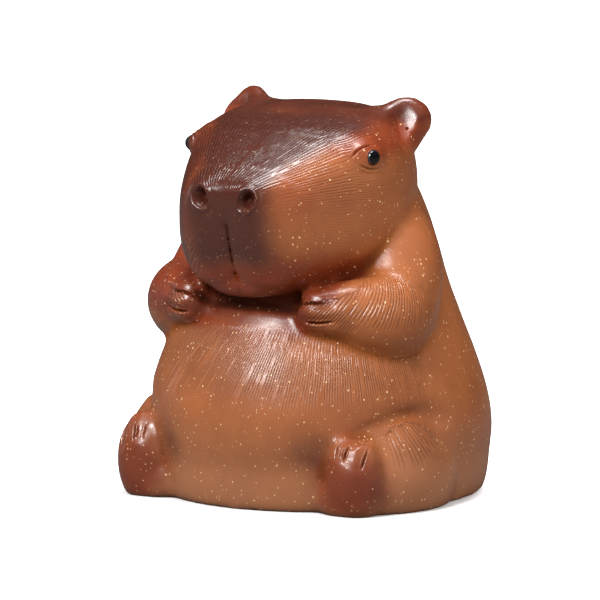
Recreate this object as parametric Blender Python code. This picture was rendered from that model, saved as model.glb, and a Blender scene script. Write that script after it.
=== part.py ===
"""Seated capybara tea pet: one hollow fired-clay figure with two bead eyes set into it.

The figure faces -Y, is alike on both sides of X = 0 and sits on z = 0. Sizes are in metres.
"""

import math

import bmesh
import bpy
import numpy as np
from mathutils import Matrix, Vector
from mathutils.bvhtree import BVHTree

# Torso
TORSO_HEIGHT = 0.067
BELLY_RADIUS = 0.0334

# Head: its back, measured from the torso's axis, and its chin, measured down from the torso's top
HEAD_WIDTH = 0.044
HEAD_LENGTH = 0.052
HEAD_HEIGHT = 0.0352
HEAD_BACK = 0.0165
CHIN_DROP = 0.0268

# Lumps of clay: half sizes across, front to back and upward
NAPE_RADII = (0.0160, 0.0120, 0.0130)
BROW_RADII = (0.0034, 0.0048, 0.0025)
LID_RADII = (0.0017, 0.0037, 0.0027)
THIGH_RADII = (0.0132, 0.0172, 0.0130)
FOOT_RADII = (0.0059, 0.0051, 0.0096)
HEEL_RADII = (0.0072, 0.0058, 0.0060)

# Ears: half sizes toward the tip, across and through
EAR_RADII = (0.0064, 0.0056, 0.0030)
EAR_ROOT_RADII = (0.0072, 0.0042, 0.0034)
EAR_HOLLOW_RADIUS = 0.0030
EAR_HOLLOW_DEPTH = 0.0016

# Arms
ARM_RADIUS = 0.0086

# Bead eyes and the sockets that hold them
BEAD_RADIUS = 0.0015
BEAD_CLEARANCE = 0.00035
BEAD_SINK = 0.0001

# Nostrils
NOSTRIL_RIM_RADIUS = 0.0025
NOSTRIL_RIM_HEIGHT = 0.0012
NOSTRIL_RADIUS = 0.0014
NOSTRIL_DEPTH = 0.0032

# Grooves: half width and depth
PHILTRUM_GROOVE = (0.0006, 0.0008)
MUZZLE_CLEFT = (0.0032, 0.0008)
LIP_GROOVE = (0.0006, 0.0004)
FINGER_GROOVE = (0.0006, 0.0011)
TOE_GROOVE = (0.0006, 0.0009)
THIGH_GROOVE = (0.0018, 0.0015)
LID_GROOVE = (0.0007, 0.0008)
LID_GROOVE_RADIUS = 0.0034

# Hollow inside the clay wall and the round vent in the base
WALL = 0.0048
VENT_RADIUS = 0.0045

# Fineness of the fused surfaces and the number of triangles kept from each
CLAY_GRAIN = 0.0006
KEPT_TRIANGLES = 10400
HOLLOW_GRAIN = 0.0016
HOLLOW_TRIANGLES = 900
PATH_STEPS = 14

# Torso as level sections: share of TORSO_HEIGHT, then shares of BELLY_RADIUS for half width, front and back
TORSO_SHARES = (
    (-0.030, 0.890, 0.890, 0.890),
    (0.000, 0.950, 0.965, 0.950),
    (0.054, 0.980, 0.988, 0.980),
    (0.119, 0.992, 1.000, 0.992),
    (0.194, 1.006, 1.035, 1.006),
    (0.284, 0.980, 1.045, 0.980),
    (0.389, 0.915, 0.990, 0.915),
    (0.493, 0.835, 0.880, 0.835),
    (0.612, 0.748, 0.720, 0.748),
    (0.716, 0.690, 0.580, 0.690),
    (0.821, 0.620, 0.460, 0.625),
    (0.910, 0.530, 0.380, 0.560),
    (1.000, 0.400, 0.280, 0.460),
)

# Head as upright sections from the back to the nose: shares of HEAD_LENGTH, of half HEAD_WIDTH and, for the top,
# the widest level and the bottom, of HEAD_HEIGHT; then how square the section is above and below that level
HEAD_SHARES = (
    (0.00, 0.25, 0.780, 0.60, 0.42, 2.2, 2.0),
    (0.06, 0.52, 0.900, 0.56, 0.28, 2.3, 2.0),
    (0.15, 0.76, 0.980, 0.53, 0.16, 2.6, 2.1),
    (0.27, 0.92, 1.010, 0.50, 0.09, 3.2, 2.1),
    (0.41, 1.00, 1.005, 0.48, 0.05, 3.9, 2.2),
    (0.54, 0.98, 0.965, 0.47, 0.03, 4.2, 2.2),
    (0.66, 0.89, 0.905, 0.44, 0.01, 3.9, 2.3),
    (0.78, 0.765, 0.830, 0.42, 0.00, 3.5, 2.4),
    (0.88, 0.635, 0.760, 0.43, 0.03, 3.2, 2.5),
    (0.94, 0.53, 0.715, 0.47, 0.16, 3.0, 2.4),
    (0.98, 0.41, 0.675, 0.52, 0.32, 2.7, 2.3),
    (1.00, 0.24, 0.630, 0.55, 0.44, 2.4, 2.2),
)

# Places on the torso: shares of BELLY_RADIUS across and forward, share of TORSO_HEIGHT upward
NAPE_SHARE = (0.0, -0.180, 0.881)
THIGH_SHARE = (0.641, 0.329, 0.087)
FOOT_SHARE = (0.710, 0.778, 0.104)
HEEL_SHARE = (0.653, 0.735, 0.048)
VENT_SHARE = (0.0, 0.0, 0.0)
FINGER_SHARES = (
    ((0.377, 0.817, 0.604), (0.464, 0.814, 0.603), (0.557, 0.778, 0.601)),
    ((0.395, 0.820, 0.557), (0.485, 0.814, 0.555), (0.578, 0.766, 0.554)),
)
TOE_SHARES = (
    ((0.677, 0.868, 0.236), (0.677, 0.943, 0.182)),
    ((0.749, 0.874, 0.236), (0.749, 0.949, 0.167)),
    ((0.844, 0.853, 0.216), (0.844, 0.934, 0.155)),
)
THIGH_CREASE_SHARES = (
    (0.734, 0.704, 0.273),
    (0.880, 0.503, 0.282),
    (0.967, 0.293, 0.267),
    (0.994, 0.150, 0.246),
)

# Arms on the torso, from the shoulder to the elbow and from the elbow to the fingers; the last share is of ARM_RADIUS
UPPER_ARM_SHARES = (
    (0.404, -0.060, 0.791, 0.93),
    (0.554, 0.060, 0.701, 1.02),
    (0.641, 0.180, 0.604, 0.98),
    (0.659, 0.269, 0.552, 0.87),
)
FOREARM_SHARES = (
    (0.644, 0.180, 0.567, 0.93),
    (0.665, 0.329, 0.546, 1.04),
    (0.617, 0.479, 0.558, 0.90),
    (0.527, 0.614, 0.576, 0.67),
    (0.437, 0.713, 0.578, 0.52),
)

# Places on the head: share of HEAD_LENGTH from the back, of half HEAD_WIDTH across, of HEAD_HEIGHT from the chin
EYE_SHARE = (0.592, 0.858, 0.783)
BROW_SHARE = (0.556, 0.783, 0.826)
EAR_SHARE = (0.280, 0.795, 0.902)
EAR_ROOT_SHARE = (0.310, 0.585, 0.915)
HEAD_HOLLOW_SHARE = (0.520, 0.0, 0.500)
NOSTRIL_RIM_SHARES = ((0.979, 0.241, 0.590), (0.985, 0.223, 0.568))
NOSTRIL_PIT_SHARES = ((0.977, 0.248, 0.594), (0.984, 0.227, 0.572), (0.990, 0.200, 0.556))
PHILTRUM_SHARES = ((0.990, 0.0, 0.430), (0.965, 0.0, 0.340), (0.930, 0.0, 0.240), (0.885, 0.0, 0.145))
LOWER_LIP_SHARES = ((0.885, 0.0, 0.145), (0.870, 0.0, 0.030))
LIP_CORNER_SHARES = ((0.885, 0.0, 0.145), (0.870, 0.182, 0.125), (0.827, 0.386, 0.120))

# Directions: the ear's tip, the way its hollow faces, and how far the lid's long axis is turned in
EAR_TIP_DIRECTION = (0.50, 0.57, 0.65)
EAR_FACING_DIRECTION = (0.45, -0.80, 0.36)
LID_TURN = math.radians(-24)

SIDES = (1, -1)


def on_torso(place):
    across, forward, up = place
    return Vector((across * BELLY_RADIUS, -forward * BELLY_RADIUS, up * TORSO_HEIGHT))


def on_head(place):
    along, across, up = place
    chin = TORSO_HEIGHT - CHIN_DROP
    return Vector((across * HEAD_WIDTH / 2, HEAD_BACK - along * HEAD_LENGTH, chin + up * HEAD_HEIGHT))


def smooth_rows(rows, count):
    """Reads `count` rows off a smooth curve through the given rows, evenly by row number."""
    table = np.array(rows, float)
    padded = np.vstack([2 * table[0] - table[1], table, 2 * table[-1] - table[-2]])
    found = []
    for at in np.linspace(0, len(table) - 1, count):
        i = min(int(at), len(table) - 2)
        t = at - i
        p0, p1, p2, p3 = padded[i : i + 4]
        row = 2 * p1 + (p2 - p0) * t + (2 * p0 - 5 * p1 + 4 * p2 - p3) * t**2 + (3 * p1 - p0 - 3 * p2 + p3) * t**3
        found.append((row / 2).tolist())
    return found


def turns(count):
    """Evenly spaced angles once round."""
    return [2 * math.pi * i / count for i in range(count)]


def loft(rings):
    """A closed skin over a row of rings of points, each with as many points as the next."""
    mesh = bmesh.new()
    rows = [[mesh.verts.new(point) for point in ring] for ring in rings]
    for row, after in zip(rows, rows[1:]):
        for i in range(len(row)):
            j = (i + 1) % len(row)
            mesh.faces.new((row[i], row[j], after[j], after[i]))
    mesh.faces.new(rows[0][::-1])
    mesh.faces.new(rows[-1])
    bmesh.ops.recalc_face_normals(mesh, faces=mesh.faces)
    return mesh


def torso(inset, lowest, highest):
    """The torso from its sections between two heights, drawn in by `inset` all round."""
    rings = []
    for height, width, front, back in smooth_rows(TORSO_SHARES, 60):
        z = height * TORSO_HEIGHT
        if not lowest <= z <= highest:
            continue
        across = width * BELLY_RADIUS - inset
        ring = []
        for turn in turns(64):
            depth = (back if math.sin(turn) > 0 else front) * BELLY_RADIUS - inset
            ring.append((across * math.cos(turn), depth * math.sin(turn), z))
        rings.append(ring)
    return loft(rings)


def squared(value, power):
    return math.copysign(abs(value) ** (2 / power), value)


def head():
    rings = []
    for along, width, top, middle, bottom, square_top, square_bottom in smooth_rows(HEAD_SHARES, 56):
        ring = []
        for turn in turns(72):
            c, s = math.cos(turn), math.sin(turn)
            power = square_top if s > 0 else square_bottom
            reach = top - middle if s > 0 else middle - bottom
            ring.append(on_head((along, width * squared(c, power), middle + reach * squared(s, power))))
        rings.append(ring)
    return loft(rings)


def limb(rows, side):
    """A round limb through rows of places and radii on the torso, with a dome at both ends."""
    stations = []
    for *place, radius in smooth_rows(rows, 24):
        stations.append((on_torso(place), radius * ARM_RADIUS))
    centres = [centre for centre, radius in stations]
    tangents = [(b - a).normalized() for a, b in zip(centres, centres[1:])]
    tangents.append(tangents[-1])
    skin = []
    dome = [math.radians(step) for step in (15, 30, 45, 60, 75, 88)]
    for turn in dome[::-1]:
        centre, radius = stations[0]
        skin.append((centre - tangents[0] * radius * math.sin(turn), tangents[0], radius * math.cos(turn)))
    for (centre, radius), tangent in zip(stations, tangents):
        skin.append((centre, tangent, radius))
    for turn in dome:
        centre, radius = stations[-1]
        skin.append((centre + tangents[-1] * radius * math.sin(turn), tangents[-1], radius * math.cos(turn)))
    rings = []
    for centre, tangent, radius in skin:
        across = tangent.cross(Vector((0, 0, 1))).normalized()
        up = across.cross(tangent)
        ring = []
        for turn in turns(24):
            point = centre + radius * (math.cos(turn) * across + math.sin(turn) * up)
            ring.append((side * point.x, point.y, point.z))
        rings.append(ring)
    return loft(rings)


def lump(centre, radii, side=1, turn=Matrix.Identity(4), fineness=4):
    """A ball stretched to the given half sizes, turned, set in place and, for side -1, mirrored."""
    mesh = bmesh.new()
    place = Matrix.Diagonal((side, 1, 1, 1)) @ Matrix.Translation(centre) @ turn @ Matrix.Diagonal((*radii, 1))
    bmesh.ops.create_icosphere(mesh, subdivisions=fineness, radius=1, matrix=place)
    bmesh.ops.recalc_face_normals(mesh, faces=mesh.faces)
    return mesh


def object_from(name, meshes):
    """One object that holds all the given meshes, which are used up."""
    data = bpy.data.meshes.new(name)
    whole = bmesh.new()
    for mesh in meshes:
        mesh.to_mesh(data)
        whole.from_mesh(data)
        mesh.free()
    whole.to_mesh(data)
    whole.free()
    thing = bpy.data.objects.new(name, data)
    bpy.context.scene.collection.objects.link(thing)
    return thing


def settle(thing):
    """Replaces the object's mesh with what its modifiers make of it."""
    graph = bpy.context.evaluated_depsgraph_get()
    made = bpy.data.meshes.new_from_object(thing.evaluated_get(graph))
    thing.modifiers.clear()
    old, thing.data = thing.data, made
    bpy.data.meshes.remove(old)
    return thing


def fuse(name, meshes, rounds, grain):
    """Presses overlapping lumps into one skin and smooths the joins."""
    thing = object_from(name, meshes)
    remesh = thing.modifiers.new("fuse", "REMESH")
    remesh.mode = "VOXEL"
    remesh.voxel_size = grain
    smooth = thing.modifiers.new("smooth", "SMOOTH")
    smooth.factor = 0.5
    smooth.iterations = rounds
    return settle(thing)


def thin_out(thing, kept):
    """Keeps about the given number of triangles, the most where the surface bends the most."""
    triangles = sum(len(face.vertices) - 2 for face in thing.data.polygons)
    decimate = thing.modifiers.new("thin out", "DECIMATE")
    decimate.ratio = kept / triangles
    return settle(thing)


def cut(thing, name, meshes):
    """Cuts the given closed shapes out of the object."""
    cutter = object_from(name, meshes)
    cutter.hide_render = True
    cutter.display_type = "WIRE"
    boolean = thing.modifiers.new(name, "BOOLEAN")
    boolean.operation = "DIFFERENCE"
    boolean.solver = "EXACT"
    boolean.object = cutter
    settle(thing)
    bpy.data.objects.remove(cutter)


def mesh_of(thing):
    mesh = bmesh.new()
    mesh.from_mesh(thing.data)
    bpy.data.objects.remove(thing)
    return mesh


def mirrored(points, side):
    return [Vector((side * point.x, point.y, point.z)) for point in points]


class Surface:
    """The fused clay as arrays of points and normals, for pressing grooves in and drawing rims out."""

    def __init__(self, thing):
        self.data = thing.data
        count = len(self.data.vertices)
        self.points = np.empty(count * 3)
        self.normals = np.empty(count * 3)
        self.data.vertices.foreach_get("co", self.points)
        self.data.vertices.foreach_get("normal", self.normals)
        self.points = self.points.reshape(count, 3)
        self.normals = self.normals.reshape(count, 3)
        whole = bmesh.new()
        whole.from_mesh(self.data)
        self.tree = BVHTree.FromBMesh(whole)
        whole.free()

    def press(self, path, width, depth, soft_ends=False):
        """Presses a groove along a path laid on the surface, on both sides; a negative depth draws a rim out."""
        for side in SIDES:
            fade = np.zeros(len(self.points))
            steps = [(a, b, i) for i, (a, b) in enumerate(zip(path, path[1:]))]
            for a, b, i in steps:
                for t in np.linspace(0, 1, PATH_STEPS):
                    seat = self.tree.find_nearest(mirrored([a.lerp(b, t)], side)[0])[0]
                    along = (i + t) / len(steps)
                    strength = math.sin(math.pi * along) if soft_ends else 1.0
                    distance = np.linalg.norm(self.points - np.array(seat), axis=1)
                    fade = np.maximum(fade, strength * np.exp(-((distance / width) ** 2)))
            self.points -= self.normals * (depth * fade)[:, None]
            if all(point.x == 0 for point in path):
                break

    def finish(self):
        self.data.vertices.foreach_set("co", self.points.ravel())
        self.data.update()


def ear_frame():
    """The ear's own axes as a turn: tip, breadth and facing."""
    facing = Vector(EAR_FACING_DIRECTION).normalized()
    breadth = facing.cross(Vector(EAR_TIP_DIRECTION)).normalized()
    return Matrix((breadth.cross(facing), breadth, facing)).transposed().to_4x4()


def lid_arc(eye, first, last):
    """Points on an arc round the eye, in a plane turned in like the lid; angles are up from straight ahead."""
    ahead = Matrix.Rotation(LID_TURN, 4, "Z") @ Vector((0, -1, 0))
    points = []
    for step in range(5):
        turn = math.radians(first + (last - first) * step / 4)
        reach = LID_GROOVE_RADIUS * math.cos(turn) * ahead
        points.append(eye + reach + Vector((0, 0, LID_GROOVE_RADIUS * math.sin(turn))))
    return points


def clay_form():
    """The whole figure as one solid skin, soft where the body flows and crisp where limbs lie on it."""
    trunk = [torso(0, -TORSO_HEIGHT, TORSO_HEIGHT), lump(on_torso(NAPE_SHARE), NAPE_RADII)]
    crown = [head()]
    limbs = []
    for side in SIDES:
        trunk.append(limb(UPPER_ARM_SHARES, side))
        crown.append(lump(on_head(EAR_SHARE), EAR_RADII, side, ear_frame()))
        crown.append(lump(on_head(EAR_ROOT_SHARE), EAR_ROOT_RADII, side))
        crown.append(lump(on_head(BROW_SHARE), BROW_RADII, side))
        crown.append(lump(on_head(EYE_SHARE), LID_RADII, side, Matrix.Rotation(LID_TURN, 4, "Z")))
        limbs.append(limb(FOREARM_SHARES, side))
        limbs.append(lump(on_torso(THIGH_SHARE), THIGH_RADII, side))
        limbs.append(lump(on_torso(FOOT_SHARE), FOOT_RADII, side))
        limbs.append(lump(on_torso(HEEL_SHARE), HEEL_RADII, side))
    trunk = fuse("trunk", trunk, 30, CLAY_GRAIN)
    crown = fuse("crown", crown, 6, CLAY_GRAIN)
    return fuse("clay_body", [mesh_of(trunk), mesh_of(crown), *limbs], 6, CLAY_GRAIN)


def press_details(body):
    surface = Surface(body)

    def groove(places, on, size, soft_ends=False):
        surface.press([on(place) for place in places], *size, soft_ends)

    groove(THIGH_CREASE_SHARES, on_torso, THIGH_GROOVE, True)
    groove(NOSTRIL_RIM_SHARES, on_head, (NOSTRIL_RIM_RADIUS, -NOSTRIL_RIM_HEIGHT))
    groove(NOSTRIL_PIT_SHARES, on_head, (NOSTRIL_RADIUS, NOSTRIL_DEPTH))
    groove(PHILTRUM_SHARES, on_head, PHILTRUM_GROOVE)
    groove(LOWER_LIP_SHARES, on_head, LIP_GROOVE)
    groove(LIP_CORNER_SHARES, on_head, LIP_GROOVE)
    groove(PHILTRUM_SHARES, on_head, MUZZLE_CLEFT)
    for places in FINGER_SHARES:
        groove(places, on_torso, FINGER_GROOVE)
    for places in TOE_SHARES:
        groove(places, on_torso, TOE_GROOVE)
    eye = on_head(EYE_SHARE)
    surface.press(lid_arc(eye, 10, 150), *LID_GROOVE, True)
    surface.press(lid_arc(eye, -30, -120), LID_GROOVE[0], LID_GROOVE[1] / 2, True)
    ear = ear_frame()
    centre = on_head(EAR_SHARE) + ear @ Vector((EAR_HOLLOW_RADIUS / 5, 0, EAR_RADII[2]))
    surface.press([centre, centre - Vector((0, 0, EAR_HOLLOW_RADIUS / 2))], EAR_HOLLOW_RADIUS, EAR_HOLLOW_DEPTH)
    surface.finish()


def hollow():
    """The empty inside of the figure: the torso drawn in by the wall, and a rounder space in the head."""
    room = (HEAD_WIDTH / 2 - 1.2 * WALL, HEAD_LENGTH / 2 - 1.6 * WALL, HEAD_HEIGHT / 2 - 1.3 * WALL)
    parts = [torso(WALL, WALL, TORSO_HEIGHT * 0.86), lump(on_head(HEAD_HOLLOW_SHARE), room)]
    return mesh_of(thin_out(fuse("hollow", parts, 4, HOLLOW_GRAIN), HOLLOW_TRIANGLES))


def floor_block():
    mesh = bmesh.new()
    reach = 4 * BELLY_RADIUS
    place = Matrix.Translation((0, 0, -reach / 2)) @ Matrix.Diagonal((reach, reach, reach, 1))
    bmesh.ops.create_cube(mesh, size=1, matrix=place)
    return mesh


def vent():
    mesh = bmesh.new()
    place = Matrix.Translation(on_torso(VENT_SHARE))
    bmesh.ops.create_cone(
        mesh, cap_ends=True, segments=48, radius1=VENT_RADIUS, radius2=VENT_RADIUS, depth=4 * WALL, matrix=place
    )
    return mesh


def eye_seat(body, side):
    """Where the bead's centre lies: a little under the lid, straight in from the side of the head."""
    tree = BVHTree.FromObject(body, bpy.context.evaluated_depsgraph_get())
    eye = on_head(EYE_SHARE)
    start = Vector((side * HEAD_WIDTH, eye.y, eye.z))
    spot, normal = tree.ray_cast(start, Vector((-side, 0, 0)))[:2]
    return spot - normal * BEAD_SINK


def material(name, colour, roughness):
    made = bpy.data.materials.new(name)
    made.use_nodes = True
    shader = made.node_tree.nodes["Principled BSDF"]
    shader.inputs["Base Color"].default_value = (*colour, 1)
    shader.inputs["Roughness"].default_value = roughness
    made.diffuse_color = (*colour, 1)
    return made


def dress(thing, finish):
    thing.data.materials.clear()
    thing.data.materials.append(finish)
    for face in thing.data.polygons:
        face.use_smooth = True
        face.material_index = 0
    thing.data.set_sharp_from_angle(angle=math.radians(50))


def centre_over_origin(things):
    """Moves the meshes so that the middle of their shared box is over the origin."""
    points = [vertex.co for thing in things for vertex in thing.data.vertices]
    x = (min(p.x for p in points) + max(p.x for p in points)) / 2
    y = (min(p.y for p in points) + max(p.y for p in points)) / 2
    for thing in things:
        thing.data.transform(Matrix.Translation((-x, -y, 0)))


def main():
    for thing in list(bpy.data.objects):
        bpy.data.objects.remove(thing)
    body = clay_form()
    press_details(body)
    thin_out(body, KEPT_TRIANGLES)
    seats = [eye_seat(body, side) for side in SIDES]
    sockets = [lump(seat, (BEAD_RADIUS + BEAD_CLEARANCE,) * 3, fineness=3) for seat in seats]
    cut(body, "floor", [floor_block()])
    cut(body, "hollow", [hollow()])
    cut(body, "vent", [vent()])
    cut(body, "sockets", sockets)
    beads = []
    for seat, name in zip(seats, ("eye_bead_left", "eye_bead_right")):
        beads.append(object_from(name, [lump(seat, (BEAD_RADIUS,) * 3, fineness=3)]))
    dress(body, material("fired_clay", (0.30, 0.10, 0.045), 0.35))
    black = material("black_bead", (0.008, 0.008, 0.010), 0.08)
    for bead in beads:
        dress(bead, black)
    centre_over_origin([body, *beads])


main()
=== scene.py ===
"""Looks of a seated capybara tea pet: polished, flecked clay with combed strokes and two black bead eyes.

The figure faces -Y, its own left is +X and it sits on z = 0. Sizes are in metres.
"""

import logging
import math
from dataclasses import dataclass, field
from enum import Enum

import bmesh
import bpy
import numpy as np
from mathutils import Matrix, Vector
from mathutils.bvhtree import BVHTree


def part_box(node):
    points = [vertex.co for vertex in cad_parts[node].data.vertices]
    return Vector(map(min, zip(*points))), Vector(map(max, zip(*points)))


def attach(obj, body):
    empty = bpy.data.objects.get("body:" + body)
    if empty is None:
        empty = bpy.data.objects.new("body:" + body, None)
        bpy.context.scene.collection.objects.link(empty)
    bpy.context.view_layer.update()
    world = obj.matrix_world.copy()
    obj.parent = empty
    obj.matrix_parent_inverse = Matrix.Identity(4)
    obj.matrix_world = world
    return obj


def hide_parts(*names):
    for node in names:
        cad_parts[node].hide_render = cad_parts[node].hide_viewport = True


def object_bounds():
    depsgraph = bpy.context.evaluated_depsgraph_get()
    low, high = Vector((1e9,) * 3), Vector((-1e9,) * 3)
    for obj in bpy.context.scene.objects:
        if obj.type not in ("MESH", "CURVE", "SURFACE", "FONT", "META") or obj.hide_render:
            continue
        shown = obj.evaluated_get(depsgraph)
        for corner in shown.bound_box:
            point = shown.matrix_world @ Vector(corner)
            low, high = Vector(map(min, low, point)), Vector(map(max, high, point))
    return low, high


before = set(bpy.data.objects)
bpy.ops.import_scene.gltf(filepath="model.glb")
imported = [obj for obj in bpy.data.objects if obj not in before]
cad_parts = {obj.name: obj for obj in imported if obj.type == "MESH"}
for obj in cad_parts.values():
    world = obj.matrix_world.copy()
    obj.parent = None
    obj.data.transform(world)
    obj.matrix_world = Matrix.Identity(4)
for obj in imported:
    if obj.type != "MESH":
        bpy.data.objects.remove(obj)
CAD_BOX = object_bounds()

LOG = logging.getLogger("tea_pet")
MM = 0.001

Colour = tuple[float, float, float]
Place = tuple[float, float, float]
Step = tuple[str, float, float]
Socket = bpy.types.NodeSocket


class Slot(Enum):
    """The record's material slots."""

    FIRED_CLAY = "fired_clay"
    BLACK_BEAD = "black_bead"


class Side(Enum):
    """The figure's own left and right, by the sign of X."""

    LEFT = 1
    RIGHT = -1


class Spread(Enum):
    """Whether a mark is made on both sides of the figure or once on its middle plane."""

    BOTH = "both"
    MIDDLE = "middle"


def from_srgb(red: int, green: int, blue: int) -> Colour:
    """Turns a colour in 0 to 255 steps, as a screen shows it, into linear light."""
    shares = [value / 255 for value in (red, green, blue)]
    return tuple(s / 12.92 if s <= 0.04045 else ((s + 0.055) / 1.055) ** 2.4 for s in shares)


def smoothstep(low: float, high: float, value: np.ndarray) -> np.ndarray:
    """Rises softly from 0 at `low` to 1 at `high`; falls where `low` is above `high`."""
    t = np.clip((value - low) / (high - low), 0.0, 1.0)
    return t * t * (3 - 2 * t)


def soft(measures: dict[str, np.ndarray], *steps: Step) -> np.ndarray:
    """Multiplies soft steps.

    Args:
        measures: what is measured at each point, by name.
        steps: each step's measure, where it starts and where it is full.

    Returns:
        The product at each point, from 0 to 1.
    """
    product = np.ones(len(next(iter(measures.values()))))
    for name, start, end in steps:
        product = product * smoothstep(start, end, measures[name])
    return product


def mirrored(place: Place, side: Side) -> Vector:
    """A place on the figure's left as a vector, or its mirror image on the right."""
    return Vector((side.value * place[0], place[1], place[2]))


def placed(name: str, data: bpy.types.ID) -> bpy.types.Object:
    """Makes an object of a mesh, lamp or camera and puts it in the scene."""
    thing = bpy.data.objects.new(name, data)
    bpy.context.scene.collection.objects.link(thing)
    return thing


def filled(name: str, work: bmesh.types.BMesh) -> bpy.types.Mesh:
    """Makes a mesh of a working one, which it frees."""
    data = bpy.data.meshes.new(name)
    work.to_mesh(data)
    work.free()
    return data


def write(mesh: bpy.types.Mesh, name: str, values: np.ndarray) -> None:
    """Writes one number a point on a mesh."""
    layer = mesh.attributes.new(name, "FLOAT", "POINT")
    layer.data.foreach_set("value", values.astype(np.float32))


class Wiring:
    """Adds shader nodes to one material and joins them."""

    def __init__(self, name: str) -> None:
        """Starts a material.

        Args:
            name: the material's name.
        """
        self.material = bpy.data.materials.new(name)
        self.material.use_nodes = True
        self.tree = self.material.node_tree
        self.tree.nodes.clear()
        self.out = self.tree.nodes.new("ShaderNodeOutputMaterial")
        self.shader = self.tree.nodes.new("ShaderNodeBsdfPrincipled")
        self.join(self.shader.outputs["BSDF"], self.out.inputs["Surface"])

    def join(self, start: Socket, end: Socket) -> None:
        """Links an output to an input."""
        self.tree.links.new(start, end)

    def give(self, socket: Socket, value: object) -> None:
        """Sets an input to a number, colour or vector, or links it to an output."""
        if isinstance(value, Socket):
            self.join(value, socket)
        elif isinstance(value, tuple) and socket.type == "RGBA":
            socket.default_value = (*value[:3], 1.0)
        else:
            socket.default_value = value

    def add(self, kind: str, inputs: dict[str | int, object], **settings: object) -> bpy.types.Node:
        """Adds a node.

        Args:
            kind: its type, less the word ShaderNode.
            inputs: what its inputs are given, by name or number.
            settings: its other settings, by name.

        Returns:
            The node.
        """
        node = self.tree.nodes.new(f"ShaderNode{kind}")
        for name, value in settings.items():
            setattr(node, name, value)
        for key, value in inputs.items():
            self.give(node.inputs[key], value)
        return node

    def maths(self, kind: str, *values: object) -> Socket:
        """Joins up to three numbers or outputs by an operation."""
        return self.add("Math", dict(enumerate(values)), operation=kind).outputs[0]

    def times(self, first: object, second: object) -> Socket:
        """The product of two values."""
        return self.maths("MULTIPLY", first, second)

    def plus(self, first: object, second: object) -> Socket:
        """The sum of two values."""
        return self.maths("ADD", first, second)

    def minus(self, first: object, second: object) -> Socket:
        """The first value less the second."""
        return self.maths("SUBTRACT", first, second)

    def vector_maths(self, kind: str, first: object, second: object) -> Socket:
        """Joins two vectors or outputs by an operation."""
        return self.add("VectorMath", {0: first, 1: second}, operation=kind).outputs[0]

    def scaled(self, vector: Socket, factor: float) -> Socket:
        """The vector times a number."""
        return self.add("VectorMath", {0: vector, "Scale": factor}, operation="SCALE").outputs[0]

    def vector(self, x: object, y: object, z: object) -> Socket:
        """A vector from three numbers or outputs."""
        return self.add("CombineXYZ", {0: x, 1: y, 2: z}).outputs[0]

    def object_place(self) -> Socket:
        """The point's place in the object's own frame."""
        return self.add("TexCoord", {}).outputs["Object"]

    def attribute(self, name: str) -> Socket:
        """A number painted on the mesh."""
        return self.add("Attribute", {}, attribute_name=name).outputs["Fac"]

    def noise(self, place: Socket, scale: float, detail: float = 2.0, roughness: float = 0.5) -> Socket:
        """Soft random values about a half.

        Args:
            place: where it is read.
            scale: lumps to the metre.
            detail: how many finer layers are added.
            roughness: how strong the finer layers are.

        Returns:
            The value output.
        """
        inputs = {"Vector": place, "Scale": scale, "Detail": detail, "Roughness": roughness}
        return self.add("TexNoise", inputs).outputs["Fac"]

    def noise_vector(self, place: Socket, scale: float, reach: float) -> Socket:
        """The place pushed about at random.

        Args:
            place: the place to push.
            scale: lumps to the metre.
            reach: about how far it is pushed, in metres.

        Returns:
            The pushed place.
        """
        node = self.add("TexNoise", {"Vector": place, "Scale": scale})
        centred = self.vector_maths("SUBTRACT", node.outputs["Color"], (0.5, 0.5, 0.5))
        return self.vector_maths("ADD", place, self.scaled(centred, reach))

    def cells(self, place: Socket, scale: float) -> tuple[Socket, Socket]:
        """Random cells.

        Args:
            place: where they are read.
            scale: cells to the metre.

        Returns:
            The distance to the cell's middle, in cells, and the cell's own random colour.
        """
        node = self.add("TexVoronoi", {"Vector": place, "Scale": scale})
        return node.outputs["Distance"], node.outputs["Color"]

    def parts(self, colour: Socket) -> list[Socket]:
        """The red, green and blue of a colour as three outputs."""
        return list(self.add("SeparateColor", {0: colour}).outputs)

    def span(self, value: object, low: float, high: float, start: float = 0.0, end: float = 1.0) -> Socket:
        """Maps a value smoothly from one range to another.

        Args:
            value: a number or output.
            low: where the range starts.
            high: where the range ends.
            start: what `low` gives.
            end: what `high` gives.

        Returns:
            The mapped value.
        """
        inputs = {"Value": value, "From Min": low, "From Max": high, "To Min": start, "To Max": end}
        return self.add("MapRange", inputs, interpolation_type="SMOOTHSTEP").outputs["Result"]

    def blend(self, share: object, first: object, second: object) -> Socket:
        """Mixes two colours.

        Args:
            share: how much of the second there is.
            first: a colour or output.
            second: a colour or output.

        Returns:
            The mixed colour.
        """
        return self.add("Mix", {0: share, 6: first, 7: second}, data_type="RGBA").outputs[2]

    def bump(self, height: Socket, depth: float, under: object = None) -> Socket:
        """Tilts the surface as if it had this relief.

        Args:
            height: the relief, from 0 to 1.
            depth: how deep 1 is, in metres.
            under: the normal that this relief lies on.

        Returns:
            The normal.
        """
        inputs = {"Distance": depth, "Height": height}
        if under is not None:
            inputs["Normal"] = under
        return self.add("Bump", inputs).outputs["Normal"]


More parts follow.
